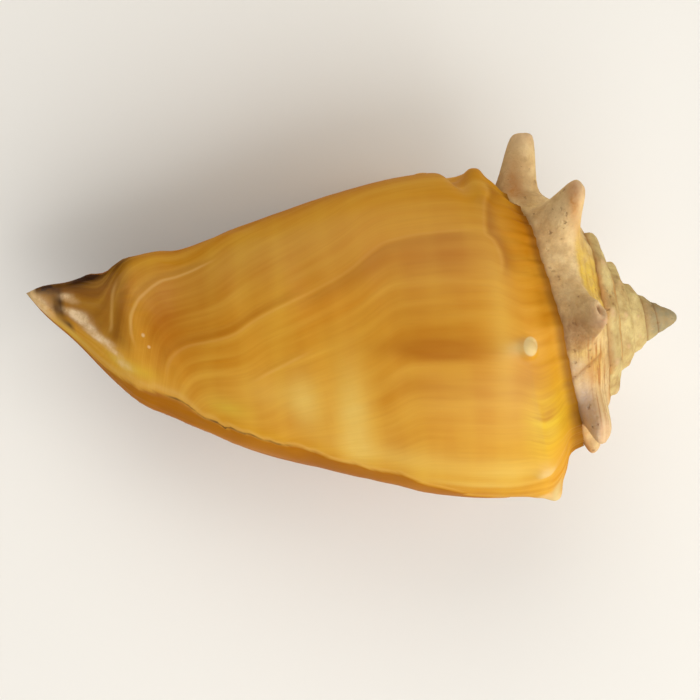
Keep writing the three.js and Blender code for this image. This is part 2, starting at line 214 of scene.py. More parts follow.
lip_edge_angle = through_points(
    (24.8, 127), (29, 132), (34, 134), (43, 132), (55, 121), (66, 105),
    (70, 97), (73.8, 60), (77, 82), (80, 92), (LENGTH, 96))
shoulder_along = through_points(
    (WALL_ANGLE, 15.6), (-180, 16.6), (-90, 17.9), (-59, 19.4),
    (-25, 20.8), (0, 21.6), (30, 22.9), (56, 23.6), (90, 24.4), (LIP_ANGLE, 26.4))
shoulder_foot = through_points(
    (WALL_ANGLE, 24.8), (-180, 24.8), (-90, 25), (0, 29), (90, 33.5), (LIP_ANGLE, 35))
shoulder_fullness = through_points(
    (WALL_ANGLE, 1.45), (-180, 1.7), (-90, 2.5), (-40, 1.6), (LIP_ANGLE, 1.45))
spire_shoulder = through_points((-1500, 0.6), (-1170, 0.62), (-990, 0.88), (-810, 0.84), (-640, 1))
shoulder_hollow = through_points(
    (WALL_ANGLE, 0), (-180, 0.8), (-90, 1.2), (-40, 0.8), (30, 0.5), (LIP_ANGLE, 0.3))
HOLLOW_PEAK = 0.15  # share of the shoulder's width at which its hollow is deepest


def suture_radius(angle):
    """Radius of the seam between two turns, which shrinks by the same share each turn."""
    return SUTURE_RADIUS * TURN_RATIO ** ((90 - angle) / TURN)


def body_radius(along, angle):
    """Radius of the last turn, and for angles before it of the wall inside the hollow."""
    half = body_half_width(along)
    turn = np.radians(angle)
    back = half / np.hypot(np.sin(turn), np.cos(turn) / body_depth_share(along))
    lip = half / np.sin(np.radians(np.clip(angle, 90, LIP_FLARE_END)))
    inner = inner_wall_share(along)
    under = np.clip((-90 - angle) / (-90 - WALL_ANGLE), 0, 1)
    spread = smoothstep(CALLUS_START, CALLUS_FULL, angle)
    spread = spread * smoothstep(CALLUS_END, CALLUS_FADING, angle)
    below = half * (1 + callus_share(along) * spread - (1 - inner) * under ** UNDERSIDE_POWER)
    deep = np.minimum((angle - WALL_ANGLE) / COLUMELLA_TAPER_ANGLE, 0)
    hidden = half * inner * (1 - COLUMELLA_TAPER * (1 - np.exp(deep)))
    return np.select([angle > 90, angle < WALL_ANGLE, angle < -90], [lip, hidden, below], back)


def ramp_points(angle):
    """Suture, shoulder corner and foot of the shoulder: along and radius of each."""
    top = (suture_drop(suture_radius(angle)), suture_radius(angle))
    early = angle < WALL_ANGLE
    next_radius = suture_radius(angle + TURN)
    next_drop = suture_drop(next_radius)
    late = LATE_SHOULDER * smoothstep(LATE_SHOULDER_START, WALL_ANGLE, angle)
    foot_along = np.where(early, next_drop, shoulder_foot(angle))
    foot_radius = np.where(early, next_radius, body_radius(foot_along, angle))
    slope = (body_radius(foot_along + SLOPE_STEP, angle) - foot_radius) / SLOPE_STEP
    step_along = top[0] + SPIRE_CORNER_DROP * (next_drop - top[0])
    corner_along = np.where(early, step_along, shoulder_along(angle))
    step = spire_shoulder(angle) * (next_radius - top[1])
    corner_radius = np.where(early, top[1] + step + next_radius * late,
                             foot_radius - (foot_along - corner_along) * slope)
    return top, (corner_along, corner_radius), (foot_along, foot_radius)


def wall_point(angle, v):
    """The smooth outer wall: v runs 0 to 1 over the shoulder, 1 to 2 down to the canal."""
    angle, v = np.broadcast_arrays(np.asarray(angle, float), np.asarray(v, float))
    top, corner, foot = ramp_points(angle)
    weights = ((1 - v) ** 2, 2 * v * (1 - v) * shoulder_fullness(angle), v * v)
    total = sum(weights)
    ramp = [(weights[0] * top[i] + weights[1] * corner[i] + weights[2] * foot[i]) / total
            for i in (0, 1)]
    out = np.maximum((ramp[1] - top[1]) / (corner[1] - top[1]), 0) / HOLLOW_PEAK
    ramp_along = ramp[0] + shoulder_hollow(angle) * out * np.exp(1 - out)
    along = foot[0] + (LENGTH - foot[0]) * (v - 1)
    body = v > 1
    return np.where(body, along, ramp_along), np.where(body, body_radius(along, angle), ramp[1])


# Spines of the last two turns: growth angle, height, half width around and along the shell,
# lean to the apex, how sharply the flanks end, and place v on the shoulder. Hollows have a
# negative height.
SPINES = [
    (108, 0.8, 2.6, 2, 0, 3, 0.86),
    (82, -1.6, 8, 1.5, 0, 4, 0.67),
    (82, 0.8, 2.6, 1.5, 0.3, 4, 0.46),
    (56, 0.4, 2.8, 0.9, 0.2, 3, 0.5),
    (-7, 0.75, 1.3, 1.1, 0.6, 6, 0.45),
    (-7, 0.3, 1.3, 2.4, 0.2, 3, 0.64),
    (-61, 0.8, 1.4, 1.9, 0.3, 3, 0.5),
    (-90, 0.5, 3, 1.8, 0, 3, 0.65),
    (-95, 1.9, 1.9, 1.6, 0.4, 3, 0.44),
    (-130, 2.6, 2.1, 1.9, 0.35, 3.4, 0.5),
    (-161, 3.8, 2.3, 2.1, 0.3, 3.6, 0.5),
    (-212, 5.4, 2.4, 2.2, 0.25, 4.5, 0.6),
    (-265, 7.9, 2.4, 2.6, 0.21, 7, 0.8),
    (-290, -1.7, 1.8, 3, 0, 4, 0.74),
    (-310, 7, 2.5, 2.1, 0.47, 3.2, 0.61),
    (-357, 6.4, 2.4, 2, 0.3, 3.2, 0.58),
    (-405, 4.9, 2.6, 2.2, 0.12, 7, 0.6),
    (-455, 2.7, 2, 1.8, 0.1, 5, 0.62),
]

# Blunt knobs on the turns above, which shrink with the coil
TURNS = 7
FIRST_ANGLE = LIP_ANGLE - TURN * TURNS
KNOB_START = -497
KNOB_STEP = 36
knob_height = through_points((-1800, 0.03), (-1200, 0.07), (-860, 0.075), (-500, 0.05))
KNOB_WIDTH = 0.115
KNOB_SHAPE = (0.2, 2.6, 0.58)  # lean, sharpness and place
KNOBS_END = FIRST_ANGLE + 60
knobs = []
for knob_angle in range(KNOB_START, KNOBS_END, -KNOB_STEP):
    knob_radius = suture_radius(knob_angle + TURN)
    knob_width = KNOB_WIDTH * knob_radius
    height = float(knob_height(knob_angle)) * knob_radius
    knobs.append((knob_angle, height, knob_width, knob_width, *KNOB_SHAPE))

SPINE_REACH = 60  # degrees either side of a spine that it can touch
SPINE_TAIL = 4  # half widths at which its flank ends
SPINE_CORE = 0.85  # half widths at which it has half its height


def bell(x, sharpness):
    """1 at 0, and falling to 0 on both sides, the more steeply the sharper it is."""
    return 1 / (1 + (x / SPINE_CORE) ** sharpness)


def spine_lift(angle, point, spines):
    """How far the spines push a point of the wall: along, radius, and share of a spine."""
    lift_along, lift_radius, share_of_spine = np.zeros((3, *point[0].shape))
    for spine_angle, height, around, along, lean, sharpness, place in spines:
        near = np.abs(angle - spine_angle) < SPINE_REACH
        if not near.any():
            continue
        here = wall_point(angle[near], place)
        foot_radius = float(wall_point(spine_angle, place)[1])
        across = np.radians(angle[near] - spine_angle) * foot_radius / around
        down = np.hypot(point[0][near] - here[0], point[1][near] - here[1]) / along
        share = bell(np.hypot(across, down), sharpness) - bell(SPINE_TAIL, sharpness)
        share = np.maximum(share, 0)
        tilt = math.hypot(1, lean)
        lift_along[near] -= lean / tilt * height * share
        lift_radius[near] += height / tilt * share
        share_of_spine[near] = np.maximum(share_of_spine[near], share * (height > 0))
    return lift_along, lift_radius, share_of_spine


# Damage of the spines: a broken tip with a pit in it, and pits on the tallest spine
DAMAGE = [
    (-355.3, -1.9, 0.5, 0.42, 0.3, 4, 0.58),
    (-353.2, -0.7, 0.6, 0.35, 0.3, 3, 0.48),
    (-359.5, 0.35, 0.5, 0.5, 0.3, 3, 0.52),
    (-362, -0.9, 1.2, 1, 0.3, 3, 0.7),
    (-268, -0.35, 0.3, 0.4, 0, 3, 0.72),
    (-262, -0.3, 0.35, 0.35, 0, 3, 0.84),
]

# Growth lines: where the rim of the shell once was. Over the body they swing back towards the
# canal, and on the shoulder they sag between the sutures. The shape grows with the shell.
LINE_MIDDLE = 38  # growth angle at which the swing below was taken
line_swing = through_points(
    (30.6, 0), (36.8, -1), (42.3, -11), (49.3, -21), (53.8, -28), (57, -36),
    (63, -44), (65.4, -58), (66.4, -81), (67.5, -120), (70, -200))
line_sag = through_points((0, -3), (0.15, -5), (0.34, -6), (0.54, -3), (0.66, -1), (1, 0))
LIP_LINES_START = 70
RIM_SPEED = 20 * math.radians(1)  # mm of growth a degree, on the middle of the back
STAGE_REACH = (-20.0, 260.0)  # degrees from a place within which its growth stage lies
STAGE_HALVINGS = 30


def size_at(growth_angle):
    """Size of the shell at a growth angle, against that on the middle of the back."""
    return TURN_RATIO ** ((LINE_MIDDLE - growth_angle) / TURN)


def growth_stage(angle, along, place):
    """Growth angle at which the rim was here: the same all along a growth line."""
    angle, along, place = np.broadcast_arrays(angle, along, place)
    low, high = angle + STAGE_REACH[0], angle + STAGE_REACH[1]
    lip_swing = lip_edge_angle(along) - LIP_ANGLE
    sag = line_sag(place)
    for _ in range(STAGE_HALVINGS):
        stage = (low + high) / 2
        lip_share = smoothstep(LIP_LINES_START, LIP_ANGLE, stage)
        swing = line_swing(along / size_at(stage)) * (1 - lip_share) + lip_swing * lip_share
        too_far = stage + swing + sag > angle
        high = np.where(too_far, stage, high)
        low = np.where(too_far, low, stage)
    return low


def grown_length(stage):
    """How far the rim has moved since the first turn, mm."""
    per_degree = -math.log(TURN_RATIO) / TURN
    return RIM_SPEED * size_at(stage) / per_degree


DRIFT_LENGTH = 7.3  # waves over which their spacing drifts once


def uneven(x, *waves):
    """Waves of a length, height and drift each, that never quite repeat."""
    total = 0
    for length, height, drift in waves:
        turn = 2 * math.pi * x / length
        total = total + height * np.sin(turn + drift * np.sin(turn / DRIFT_LENGTH + drift))
    return total


# The callus: a thin glaze over the underside, whose edge runs along the lower side of the back
callus_edge = through_points(
    (15.5, -215), (17, -170), (18.4, -128), (20, -108), (24, -90), (28, -80), (33, -72),
    (38, -67), (43.6, -67), (48, -63), (55, -62),
    (59, -61), (62, -58), (65, -51), (70, -52), (75, -62), (80, -60), (LENGTH, -50))
CALLUS_STEP = 0.22
CALLUS_STEP_WIDTH = 2.2
SWELL_LENGTH = 8  # low swells on the callus
SWELL_HEIGHT = 0.05
SWELL_SEED = 5

# The spire is crumbly: lumps of three sizes, as length and height in mm
LUMPS = [(3.4, 0.09), (1.5, 0.05), (0.75, 0.022)]
LUMP_WAVES = 16
LUMP_SHRINK = 0.7  # power of a turn's size that the height of its lumps follows
SPIRE_START = WALL_ANGLE - 40  # growth angle before which the surface is crumbly throughout
SPIRAL_RIDGES = 7  # across the shoulder of each turn of the spire
SPIRAL_RIDGE_HEIGHT = 0.02


def lumpy(points, length, seed):
    """Irregular lumps in space, as many up as down, about this long."""
    chance = np.random.default_rng(seed)
    total = np.zeros(points.shape[:-1])
    for _ in range(LUMP_WAVES):
        direction = chance.normal(size=3)
        direction /= np.linalg.norm(direction) * length * chance.uniform(0.7, 1.4)
        total += np.sin(2 * math.pi * (points @ direction + chance.uniform()))
    return total / math.sqrt(LUMP_WAVES)


def callus_distance(angle, along):
    """How far this is outside the edge of the callus, mm along the turn."""
    crumbly = 0.5 + 0.5 * smoothstep(52, 62, along)
    edge = callus_edge(along) + uneven(along, (7.1, 0.9, 1.5))
    edge = edge + crumbly * uneven(along, (2.9, 0.9, 2), (1.3, 0.7, 1), (0.7, 0.35, 1.3))
    return np.radians(angle - edge) * body_half_width(along)


# Growth ridges, as length, height and drift of each wave, on a shell of full size
GROWTH_RIDGES = [(6.3, 0.04, 1.2), (3.1, 0.025, 2.1)]
FINE_RIDGES = [(2.3, 0.014, 1.7), (1.3, 0.01, 2.4)]
# Where the fine ones are strong, in crescents on the shoulder of the last turn: middle and half
# width as growth angle, the same along the shell, and share
CRESCENTS = [(-33, 15, 19.3, 2, 1), (27, 7, 21, 1.3, 0.8)]
CRESCENT_STRENGTH = 7


def crescents(angle, along):
    """How much a place lies in the crescents."""
    return sum(share * np.exp(-((angle - middle) / half) ** 2 - ((along - where) / reach) ** 2)
               for middle, half, where, reach, share in CRESCENTS)


# One rough growth stop crosses the flank between two spines of the turn before the last
fold_line = through_points((10.5, -372), (12.7, -376), (13.9, -378), (15, -381.5), (16.5, -385))
FOLD_RADIUS = 11.5  # of the turn there
FOLD_DEPTH = 0.42
FOLD_STEP = 0.5  # mm over which the surface drops at the fold
FOLD_WIDTH = 1.8  # mm over which it comes back up


def fold_distance(angle, along):
    """How far this is past the fold on the older side, mm along the turn."""
    return np.radians(fold_line(along) - angle) * FOLD_RADIUS


def relief(angle, along, radius, place):
    """Low relief of the outer surface, mm: growth ridges, lumps of the spire, the callus edge."""
    grown = grown_length(growth_stage(angle, along, place))
    size = size_at(angle)
    fine = uneven(grown / size, *FINE_RIDGES)
    height = uneven(grown / size, *GROWTH_RIDGES)
    height = height + fine * (1 + CRESCENT_STRENGTH * crescents(angle, along))
    height = size * height * smoothstep(0, 0.25, place)
    on_spire = smoothstep(WALL_ANGLE, SPIRE_START, angle)
    here = to_space(along, radius, angle)
    lumps = sum(high * lumpy(here, length, seed) for seed, (length, high) in enumerate(LUMPS))
    ridges = SPIRAL_RIDGE_HEIGHT * np.sin(2 * math.pi * SPIRAL_RIDGES * place)
    ridges = ridges * smoothstep(0.3, 0.6, place)
    height = height + on_spire * (lumps + ridges) * size ** LUMP_SHRINK
    past = fold_distance(angle, along)
    fold = smoothstep(0, FOLD_STEP, past) * np.exp(-np.maximum(past, 0) / FOLD_WIDTH)
    height = height - FOLD_DEPTH * fold * smoothstep(0.08, 0.3, place) * on_spire
    outside = callus_distance(angle, along)
    swells = SWELL_HEIGHT * lumpy(here, SWELL_LENGTH, SWELL_SEED)
    height = height + swells * smoothstep(0, -4, outside) * (1 - on_spire)
    last = smoothstep(WALL_ANGLE - 20, WALL_ANGLE, angle) * smoothstep(0.4, 0.9, place)
    sunk = smoothstep(-0.2, 0.25, outside) * np.exp(-np.maximum(outside, 0) / CALLUS_STEP_WIDTH)
    return height - CALLUS_STEP * sunk * last


RELIEF_END = (80, 74)  # mm along, between which the relief fades towards the canal's tip


def outside_point(angle, v):
    """The finished outer surface: along, radius, and how far out on a spine it is."""
    angle, v = np.broadcast_arrays(np.asarray(angle, float), np.asarray(v, float))
    point = wall_point(angle, v)
    lift = spine_lift(angle, point, SPINES + knobs + DAMAGE)
    fall = np.maximum(1 - v / SUTURE_EDGE_REACH, 0) ** 2
    before = angle - TURN
    under = spine_lift(before, wall_point(before, 1), SPINES + knobs)
    around_suture = np.radians(angle) * suture_radius(angle)
    wavy = 1 + uneven(around_suture, (5.3, 0.25, 1.4), (2.2, 0.2, 2), (1.1, 0.12, 1.2))
    edge = SUTURE_EDGE * suture_radius(angle) / SUTURE_RADIUS * fall * wavy
    height = relief(angle, *point, v) * smoothstep(*RELIEF_END, point[0])
    outwards = smoothstep(0.1, 0.9, v)
    height_side = (-np.sqrt(1 - outwards ** 2), outwards)
    along, radius = [point[i] + lift[i] + under[i] * fall + edge * SUTURE_EDGE_SIDE[i]
                     + height * height_side[i] for i in (0, 1)]
    return along, radius, lift[2]


def sheared_angle(angle, v):
    """Growth angle at a column and row: near the lip the columns follow its edge."""
    along = wall_point(LIP_ANGLE, v)[0]
    share = smoothstep(LIP_SHEAR_START, LIP_ANGLE, angle)
    return angle + (lip_edge_angle(along) - LIP_ANGLE) * share


def to_space(along, radius, angle):
    """To the shell's frame: x to the apex, y to the lip's side, z to the back."""
    turn = np.radians(angle)
    return np.stack([
        -along,
        centre_side(along) + radius * np.sin(turn),
        centre_rise(along) + radius * np.cos(turn),
    ], axis=-1)


# Counts of the mesh: each turn has its own number of columns, so that facets are alike in size
COLUMNS = (40, 60, 90, 136, 206, 320, 360)
RAMP_ROWS = 46
BODY_ROWS = 72
ROW_CROWDING = 0.07  # how much closer the rows lie at both ends of the shoulder
LIP_EDGE_STEPS = 8
HOLLOW_DEPTH = 150  # degrees, and columns of the last turn, that the hollow goes back
HOLLOW_STATIONS = np.array([0, 1, 2, 4, 6, 9, 12, 16, 20, *range(25, HOLLOW_DEPTH + 1, 5)])
HOLLOW_CLOSING = 35  # degrees over which its far end closes
TOP_DROP_DEPTH = 20  # degrees over which the hollow leaves the suture
LIP_THINNING = 15  # degrees over which the lip thins to the wall

row_share = np.arange(RAMP_ROWS + 1) / RAMP_ROWS
ramp_places = row_share - ROW_CROWDING * np.sin(2 * np.pi * row_share)
places = np.concatenate([ramp_places, 1 + np.arange(1, BODY_ROWS) / BODY_ROWS])
body_places = places[RAMP_ROWS:]

point_blocks = []
mark_blocks = {"turned": [], "along": [], "place": [], "spine": [], "inside": []}
faces = []


def add_points(points, **marks):
    """Stores a block of vertices with their marks, and returns their numbers."""
    shape = points.shape[:-1]
    first = sum(len(block) for block in point_blocks)
    point_blocks.append(points.reshape(-1, 3))
    for name, blocks in mark_blocks.items():
        blocks.append(np.broadcast_to(marks[name], shape).ravel())
    return first + np.arange(int(np.prod(shape))).reshape(shape)


def add_outside(angles, row_places):
    """Vertices of the outer surface at all these growth angles and places."""
    angle = sheared_angle(angles[:, None], row_places[None, :])
    along, radius, spine = outside_point(angle, row_places[None, :])
    return add_points(to_space(along, radius, angle), turned=angle, along=along,
                      place=row_places[None, :], spine=spine, inside=0)


def add_quads(grid):
    """Quads over a grid of vertex numbers."""
    corners = (grid[:-1, :-1], grid[1:, :-1], grid[1:, 1:], grid[:-1, 1:])
    faces.extend(np.stack(corners, axis=-1).reshape(-1, 4).tolist())


def add_zip(upper, lower):
    """Triangles between two rows with different numbers of columns over the same turn."""
    i, j = 0, 0
    last_i, last_j = len(upper) - 1, len(lower) - 1
    while i < last_i or j < last_j:
        if j == last_j or (i < last_i and (i + 1) / last_i <= (j + 1) / last_j):
            faces.append([upper[i], upper[i + 1], lower[j]])
            i += 1
        else:
            faces.append([upper[i], lower[j + 1], lower[j]])
            j += 1


def numbered_points(numbers):
    """The points of these vertex numbers."""
    return np.vstack(point_blocks)[numbers]


turns = []
for turn_number, columns in enumerate(COLUMNS):
    angles = FIRST_ANGLE + TURN * (turn_number + np.arange(columns + 1) / columns)
    if turn_number == 0:
        turns.append(add_outside(angles, ramp_places[:-1]))
    else:
        turns.append(np.vstack([turns[-1][-1:], add_outside(angles[1:], ramp_places[:-1])]))
for upper, lower in zip(turns[:-1], turns[1:]):
    add_quads(upper)
    add_zip(upper[:, -1].tolist(), lower[:, 0].tolist())

# The last turn goes on below the shoulder, down to the tip of the canal
tip_place = to_space(np.array(LENGTH), np.array(0.0), 0)
canal_tip = add_points(tip_place, turned=0, along=LENGTH, place=2, spine=0, inside=0)


def to_tip(grid):
    """The grid with the tip of the canal as its last row."""
    return np.hstack([grid, np.full((len(grid), 1), canal_tip)])


foot_of_first = np.array([[turns[-1][-1, 0]]])
first_body_column = np.hstack([foot_of_first, add_outside(angles[:1], body_places[1:])])
body = np.vstack([first_body_column, add_outside(angles[1:], body_places)])
last_turn = np.hstack([turns[-1], body])
add_quads(to_tip(last_turn))

# The columella's side of the hollow behind the lip
depth = HOLLOW_STATIONS[1:, None].astype(float)
wall_angle = WALL_ANGLE - depth
wall_top = suture_drop(suture_radius(wall_angle + TURN))
wall_top = wall_top + CAVITY_TOP_DROP * smoothstep(0, TOP_DROP_DEPTH, depth)
wall_along = wall_top + (LENGTH - wall_top) * (body_places - 1)
wall_space = to_space(wall_along, body_radius(wall_along, wall_angle), wall_angle)
wall_numbers = add_points(wall_space, turned=wall_angle, along=wall_along,
                          place=body_places, spine=0, inside=1)
inner_wall = np.vstack([body[:1], wall_numbers])
add_quads(to_tip(inner_wall[::-1]))

# The inside of the outer wall: from each outer point towards the inner wall opposite
opposite = np.hstack([np.repeat(inner_wall[:, :1], RAMP_ROWS, axis=1), inner_wall])
outer_wall = last_turn[COLUMNS[-1] - HOLLOW_STATIONS]
start, end = numbered_points(outer_wall), numbered_points(opposite)
gap = np.linalg.norm(end - start, axis=-1)
depth = HOLLOW_STATIONS[:, None].astype(float)
thickness = WALL + (LIP_THICKNESS - WALL) * (1 - smoothstep(0, LIP_THINNING, depth))
closing = smoothstep(HOLLOW_DEPTH - HOLLOW_CLOSING, HOLLOW_DEPTH, depth)
share = np.minimum(0.5, thickness / np.maximum(gap, 0.01))
share = (share + (1 - share) * closing)[..., None]
inner_space = (start + (end - start) * share)[:-1, 1:]
inner_angle = sheared_angle(LIP_ANGLE - depth[:-1], places[None, 1:])
inner_numbers = add_points(inner_space, turned=inner_angle, along=-inner_space[..., 0],
                           place=places[1:], spine=0, inside=1)
inner_side = np.vstack([np.hstack([inner_wall[:-1, :1], inner_numbers]), opposite[-1:]])
add_quads(to_tip(inner_side))

# The rounded edge of the lip, bulging in the direction of growth
edge_start, edge_end = numbered_points(last_turn[-1, 1:]), numbered_points(inner_side[0, 1:])
growth = edge_start - numbered_points(last_turn[-2, 1:])
growth = growth / np.linalg.norm(growth, axis=-1, keepdims=True)
half_gap = np.linalg.norm(edge_end - edge_start, axis=-1, keepdims=True) / 2
edge_angle = sheared_angle(LIP_ANGLE, places[1:])
rounds = [last_turn[-1]]
for step in range(1, LIP_EDGE_STEPS):
    bend = math.pi * step / LIP_EDGE_STEPS
    ring = edge_start + (edge_end - edge_start) * (1 - math.cos(bend)) / 2
    ring = ring + growth * half_gap * math.sin(bend)
    numbers = add_points(ring, turned=edge_angle, along=-ring[:, 0], place=places[1:],
                         spine=0, inside=step / LIP_EDGE_STEPS)
    rounds.append(np.concatenate([last_turn[-1, :1], numbers]))
rounds.append(inner_side[0])
add_quads(to_tip(np.stack(rounds)))

# The apex: a low dome of rings over the first turn
DOME_RINGS = (0.85, 0.65, 0.4, 0.2)  # share of the radius
DOME_POWER = 2.2  # how blunt it is
first_column = [*turns[0][0].tolist(), int(turns[0][-1, 0])]
dome_edge = np.array([*turns[0][:, 0].tolist(), *first_column[-2::-1]])
edge_points = numbered_points(dome_edge)
dome = [dome_edge]
for share in DOME_RINGS:
    ring = edge_points * (share ** DOME_POWER, share, share)
    numbers = add_points(ring[:-1], turned=FIRST_ANGLE, along=-ring[:-1, 0], place=0.5,
                         spine=0, inside=0)
    dome.append(np.append(numbers, numbers[0]))
apex = add_points(np.zeros(3), turned=FIRST_ANGLE, along=0, place=0.5, spine=0, inside=0)
dome.append(np.full(len(dome_edge), int(apex)))
add_quads(np.stack(dome))

# Laid down on the floor, and worn flat where it touches
REST = TIPPED @ Matrix.Rotation(math.radians(HEADING), 4, "Z")
shell_points = np.vstack(point_blocks) @ np.array(REST.to_3x3()).T + np.array(APEX)
shell_points[:, 2] = np.maximum(shell_points[:, 2], 0)
outlines = [list(dict.fromkeys(face)) for face in faces]
outlines = [outline for outline in outlines if len(outline) > 2]
shell_mesh = bpy.data.meshes.new("shell")
shell_mesh.from_pydata((shell_points * MM).tolist(), [], outlines)
shell_mesh.polygons.foreach_set("use_smooth", [True] * len(shell_mesh.polygons))

# What the material needs to know at each point of the surface, mostly from 0 to 1
marks = {name: np.concatenate(blocks) for name, blocks in mark_blocks.items()}
along, place, turned, inside = [marks[name] for name in ("along", "place", "turned", "inside")]
off_callus = callus_distance(turned, along)
off_lip = lip_edge_angle(along) - turned
after_wall = turned > WALL_ANGLE
on_body = smoothstep(0.05, 0.3, place)
marks["grown"] = grown_length(growth_stage(turned, along, place))
marks["off_callus"] = off_callus


def patches(*soft_spots):
    """Soft spots added up: middle and half width along, middle and half width turned, share."""
    total = np.zeros(along.shape)
    for middle, half, turned_middle, turned_half, share in soft_spots:
        off = ((along - middle) / half) ** 2 + ((turned - turned_middle) / turned_half) ** 2
        total += share * np.exp(-off)
    return np.clip(total, 0, 1)


# the last turn: where it is darker, paler, yellower, brown or worn to cream and white
last_turn_wall = smoothstep(WALL_ANGLE - 25, WALL_ANGLE + 70, turned)
marks["last"] = np.maximum(last_turn_wall, smoothstep(0.8, 1.1, place) * after_wall)
marks["last"] = np.maximum(marks["last"], inside > 0)
# dark: darker patches of the amber, and along the lip's side of the back (growth angle 84) a broad
# painted shade
marks["dark"] = patches(
    (33, 6.5, -6, 4.5, 1), (33, 7.5, 8, 9, 0.45), (32, 7, 28, 9, 0.5), (32, 7, -20, 6, 0.4),
    (30.5, 5, -4, 8, 0.35), (21.2, 2.6, -20, 7, 0.6), (66.5, 3, 5, 32, 0.8), (48, 27, 84, 12, 1),
    (62.5, 4.5, 14, 30, 0.5), (20, 2.6, 48, 18, 0.9), (19, 1.2, 10, 30, 0.5))
marks["pale"] = patches(
    (43, 2, -40, 24, 1.1), (48.8, 2, -32, 13, 0.9), (53, 4, -30, 10, 0.35),
    (36, 10, -56, 8, 0.6), (24, 5, -57, 6, 0.8), (27, 7, -66, 2.5, 0.7),
    (24.3, 1.6, 0, 30, 0.3), (45, 14, 50, 14, 0.3))
marks["orange_glow"] = patches((40, 10, 48, 18, 0.9), (45, 6, 14, 10, 0.5))
marks["yellow"] = patches(
    (19.5, 3.4, -38, 17, 1.1), (58.5, 2.6, -44, 7, 0.8), (69, 1.8, -36, 7, 0.7),
    (71.6, 1.6, -36, 7, 1), (78.2, 2, -52, 10, 1))
canal_side = smoothstep(-32, -8, turned) * smoothstep(115, 95, turned)
marks["canal"] = smoothstep(69, 71.5, along) * canal_side
marks["brown"] = patches(
    (76, 3.2, 66, 17, 1), (79.3, 0.5, 5, 40, 1.2), (73, 3, 76, 12, 0.7), (78.3, 0.5, -34, 10, 0.9))
marks["grey"] = patches((81, 1.7, 60, 32, 0.9))
marks["cream"] = patches(
    (78.2, 0.6, 30, 8, 1.2), (77.2, 0.4, 22, 6, 0.6), (76.9, 1.2, -3, 8, 2),
    (76, 1.1, -12, 5, 1.5), (74.3, 1.3, -21, 4.2, 2), (75.1, 0.7, -15, 3, 0.9),
    (72.6, 0.6, -27.5, 3, 1.2), (71.4, 0.9, -36, 5, 0.5), (81.7, 1.2, -30, 42, 1.6),
    (83.2, 0.5, 0, 200, 1.6))
marks["white"] = patches((22.4, 1.7, -6.2, 2.4, 0.6), (19.5, 1.1, -61, 2.2, 0.55),
                         (17.6, 0.9, -91, 5, 1))
marks["crescents"] = crescents(turned, along) * after_wall
marks["spine_tip"] = smoothstep(0.5, 0.9, marks["spine"]) * smoothstep(-50, -70, turned)
marks["spine_tip"] *= marks["last"]

# the seams: painted shade where each turn lies on the one before; "open" is where the sky reaches
# the surface by them
near_apex = smoothstep(6.5, 4.5, along)
marks["open"] = 0.3 + 0.7 * smoothstep(0.1, 0.5, place)
late_seam_shade = 0.9 * np.exp(-(place / 0.03) ** 2) + 0.1 * np.exp(-(place / 0.12) ** 2)
early_seam_shade = np.exp(-((1 - place) / (0.04 + 0.1 * near_apex)) ** 2) * (turned < WALL_ANGLE)
early_seam_shade = early_seam_shade * (0.4 + 0.5 * smoothstep(-760, -700, turned) + 0.25 * near_apex)
marks["seam"] = late_seam_shade * smoothstep(-700, WALL_ANGLE, turned) + early_seam_shade

# the callus: its pale rim, the crack along it near the canal, and the glazed inside of the shell
rim_width = 0.3 + 0.5 * smoothstep(52, 66, along)
marks["rim"] = np.exp(-((off_callus / rim_width - 1)) ** 2) * on_body * after_wall
marks["crack"] = smoothstep(47, 51, along) * smoothstep(67.5, 65, along)
marks["glazed"] = smoothstep(0.1, -0.3, off_callus) * after_wall * on_body
marks["glazed"] = np.maximum(marks["glazed"], inside > 0)
marks["thin_glaze"] = smoothstep(-9, -0.5, off_callus) * (inside == 0)
on_lip = (inside > 0) * smoothstep(16, 4, off_lip)
marks["peach"] = np.maximum(on_lip, smoothstep(-185, -222, turned) * (inside == 0))
marks["peach"] *= smoothstep(66, 56, along)
marks["canal_inside"] = np.maximum(smoothstep(60, 72, along) * smoothstep(-105, -150, turned),
                                   smoothstep(62, 74, along) * inside)
marks["deep"] = (inside > 0) * smoothstep(10, 60, off_lip)

# the spire: early turns, yellow shoulders, streaks, stains, painted shade on the flank of the
# broken spine and in the pit of its tip, and a painted shadow along the fold
marks["early"] = smoothstep(WALL_ANGLE - 250, WALL_ANGLE - 420, turned)
marks["apex"] = smoothstep(5.5, 2.5, along)
yellow_shoulder = smoothstep(0.5, 0.38, place) * np.exp(-((turned + 335) / 24) ** 2)
marks["ramp"] = yellow_shoulder + patches(
    (18, 1.2, -293, 6, 0.6), (14.8, 1.6, -374, 7, 0.7), (12.6, 1.2, -383, 13, 0.6))
marks["folds"] = 0.5 * yellow_shoulder + patches((12.2, 1, -390, 15, 1.3), (13.4, 1.8, -373, 8, 1))
flank_line = through_points((11.5, -359), (12.3, -362), (13.6, -369), (15, -371.5), (17, -370))
flank_end = flank_line(along)
flank = smoothstep(-354, -361, turned) * smoothstep(flank_end - 1.3, flank_end + 0.8, turned)
flank = flank * smoothstep(11.3, 12.5, along) * (turned < WALL_ANGLE)
